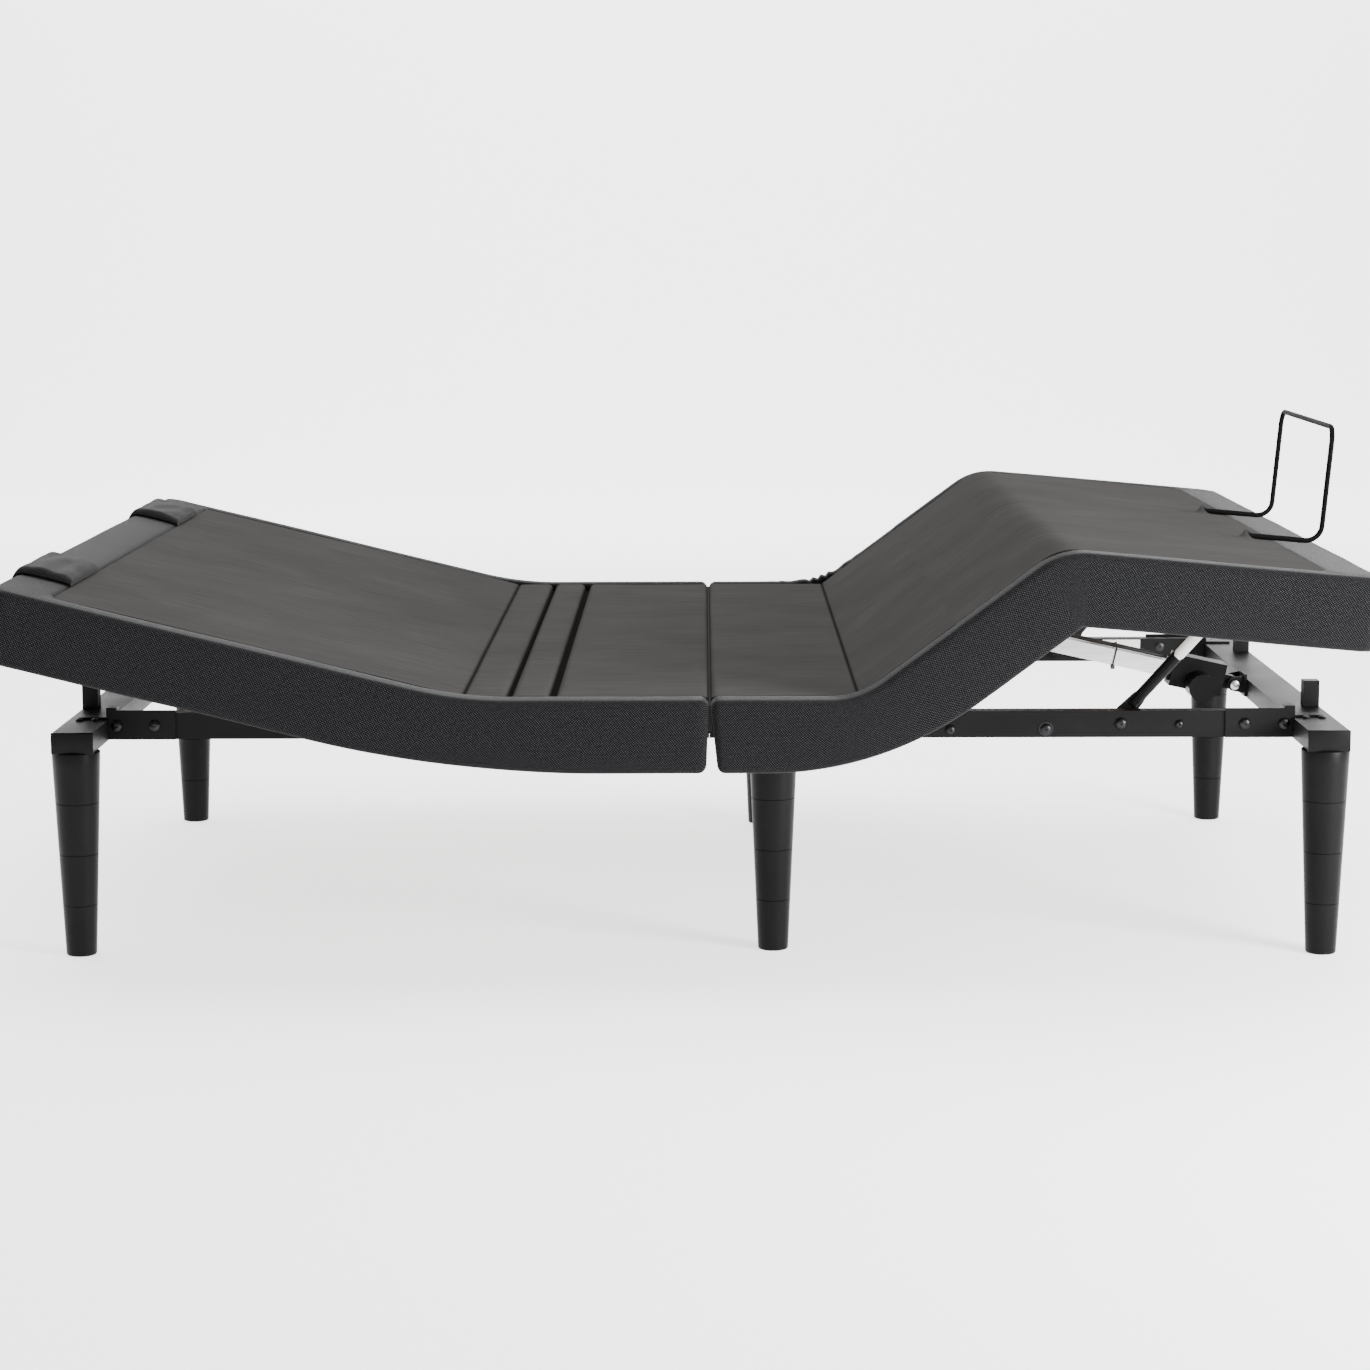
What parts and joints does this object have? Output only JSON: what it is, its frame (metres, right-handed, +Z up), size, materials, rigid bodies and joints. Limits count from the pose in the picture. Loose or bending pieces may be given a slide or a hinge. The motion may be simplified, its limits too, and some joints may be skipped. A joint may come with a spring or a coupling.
{
  "type": "adjustable bed base",
  "caption": "Adjustable bed base with a raised head section and raised knee, padded fabric borders, steel frame, tapered legs and a foot retainer hoop.",
  "frame": {"origin": "centre of the object's outline at floor level", "axes": "+X towards the foot end of the bed, +Y towards its far side, +Z up"},
  "size_m": [1.9807, 1.524, 0.761],
  "materials": {
    "powder_coated_steel": "satin black powder coat",
    "woven_fabric": "charcoal twill weave",
    "deck_board": "plain sheet board",
    "black_plastic": "moulded satin",
    "aluminium": "extruded, mill finish",
    "zinc_steel": "zinc plated",
    "cable_jacket": "matt"
  },
  "bodies": {
    "base": {"head_cross_tube": "powder_coated_steel", "foot_cross_tube": "powder_coated_steel", "mid_cross_tube": "powder_coated_steel", "rail_head_near": "powder_coated_steel", "rail_head_far": "powder_coated_steel", "rail_foot_near": "powder_coated_steel", "rail_foot_far": "powder_coated_steel", "corner_bracket_head_near": "powder_coated_steel", "corner_bracket_head_far": "powder_coated_steel", "corner_bracket_foot_near": "powder_coated_steel", "corner_bracket_foot_far": "powder_coated_steel", "leg_head_near": "black_plastic", "leg_head_far": "black_plastic", "leg_mid_near": "black_plastic", "leg_mid_far": "black_plastic", "leg_foot_near": "black_plastic", "leg_foot_far": "black_plastic", "head_actuator_bracket": "powder_coated_steel", "foot_actuator_bracket": "powder_coated_steel", "seat_frame_head": "powder_coated_steel", "seat_frame_foot": "powder_coated_steel", "seat_slat_head": "deck_board", "seat_slat_middle": "deck_board", "seat_board_head": "deck_board", "seat_board_foot": "deck_board", "seat_border_head_near": "woven_fabric", "seat_border_head_far": "woven_fabric", "seat_border_foot_near": "woven_fabric", "seat_border_foot_far": "woven_fabric", "hinge_rod_head": "zinc_steel", "hinge_rod_thigh": "zinc_steel", "control_box": "black_plastic", "power_supply": "black_plastic", "foot_motor_lead": "cable_jacket", "head_motor_lead": "cable_jacket"},
    "head": {"head_frame": "powder_coated_steel", "head_board": "deck_board", "head_border": "woven_fabric", "head_strap_loop_near": "woven_fabric", "head_strap_loop_far": "woven_fabric"},
    "thigh": {"thigh_frame": "powder_coated_steel", "thigh_board": "deck_board", "thigh_border_near": "woven_fabric", "thigh_border_far": "woven_fabric", "hinge_rod_knee": "zinc_steel"},
    "calf": {"calf_frame": "powder_coated_steel", "calf_board": "deck_board", "calf_border": "woven_fabric", "foot_retainer_bar": "powder_coated_steel"},
    "foot_links": {"foot_link_near": "powder_coated_steel", "foot_link_far": "powder_coated_steel"},
    "foot_lift": {"foot_lift_arm": "powder_coated_steel"},
    "head_lift": {"head_lift_arm": "powder_coated_steel"},
    "foot_drive": {"foot_motor_housing": "black_plastic", "foot_actuator_profile": "aluminium", "foot_actuator_lead": "cable_jacket"},
    "foot_rod": {"foot_push_rod": "zinc_steel"},
    "head_drive": {"head_motor_housing": "black_plastic", "head_actuator_profile": "aluminium"},
    "head_rod": {"head_push_rod": "zinc_steel"}
  },
  "joints": [
    {"name": "head_fold", "type": "hinge", "parent": "base", "child": "head", "pos_m": [-0.3183, 0, 0.396], "axis": [0, 1, 0], "range_deg": [-13.8, 46.2]},
    {"name": "thigh_fold", "type": "hinge", "parent": "base", "child": "thigh", "pos_m": [0.2457, 0, 0.396], "axis": [0, -1, 0], "range_deg": [-36.7, 5.3]},
    {"name": "knee_fold", "type": "hinge", "parent": "thigh", "child": "calf", "pos_m": [0.52472, 0, 0.60397], "axis": [0, 1, 0], "range_deg": [-42, 6.2]},
    {"name": "link_swing", "type": "hinge", "parent": "base", "child": "foot_links", "pos_m": [0.6477, 0, 0.326], "axis": [0, -1, 0], "range_deg": [-50, 7.4]},
    {"name": "foot_lift_turn", "type": "hinge", "parent": "base", "child": "foot_lift", "pos_m": [0.2917, 0, 0.325], "axis": [0, -1, 0], "range_deg": [-40, 6]},
    {"name": "head_lift_turn", "type": "hinge", "parent": "base", "child": "head_lift", "pos_m": [-0.3633, 0, 0.33], "axis": [0, 1, 0], "range_deg": [-14.3, 47.4]},
    {"name": "foot_drive_tilt", "type": "hinge", "parent": "base", "child": "foot_drive", "pos_m": [0.8837, 0, 0.326], "axis": [0, 1, 0], "range_deg": [-6.8, 1.2]},
    {"name": "foot_rod_slide", "type": "slide", "parent": "foot_drive", "child": "foot_rod", "axis": [-0.9759, 0, 0.2181], "range_m": [-0.0765, 0.012]},
    {"name": "head_drive_tilt", "type": "hinge", "parent": "base", "child": "head_drive", "pos_m": [-0.8468, 0, 0.326], "axis": [0, -1, 0], "range_deg": [-2.2, 6.8]},
    {"name": "head_rod_slide", "type": "slide", "parent": "head_drive", "child": "head_rod", "axis": [0.9892, 0, 0.1464], "range_m": [-0.0225, 0.075]}
  ],
  "couplings": [
    {"joint": "knee_fold", "follows": "thigh_fold", "ratio": 1.1409},
    {"joint": "link_swing", "follows": "thigh_fold", "ratio": 1.3572},
    {"joint": "foot_lift_turn", "follows": "thigh_fold", "ratio": 1.085},
    {"joint": "foot_drive_tilt", "follows": "thigh_fold", "ratio": 0.1784},
    {"joint": "foot_rod_slide", "follows": "thigh_fold", "m_per_rad": 0.117},
    {"joint": "head_lift_turn", "follows": "head_fold", "ratio": 1.02},
    {"joint": "head_drive_tilt", "follows": "head_fold", "ratio": 0.1416},
    {"joint": "head_rod_slide", "follows": "head_fold", "m_per_rad": 0.092}
  ]
}
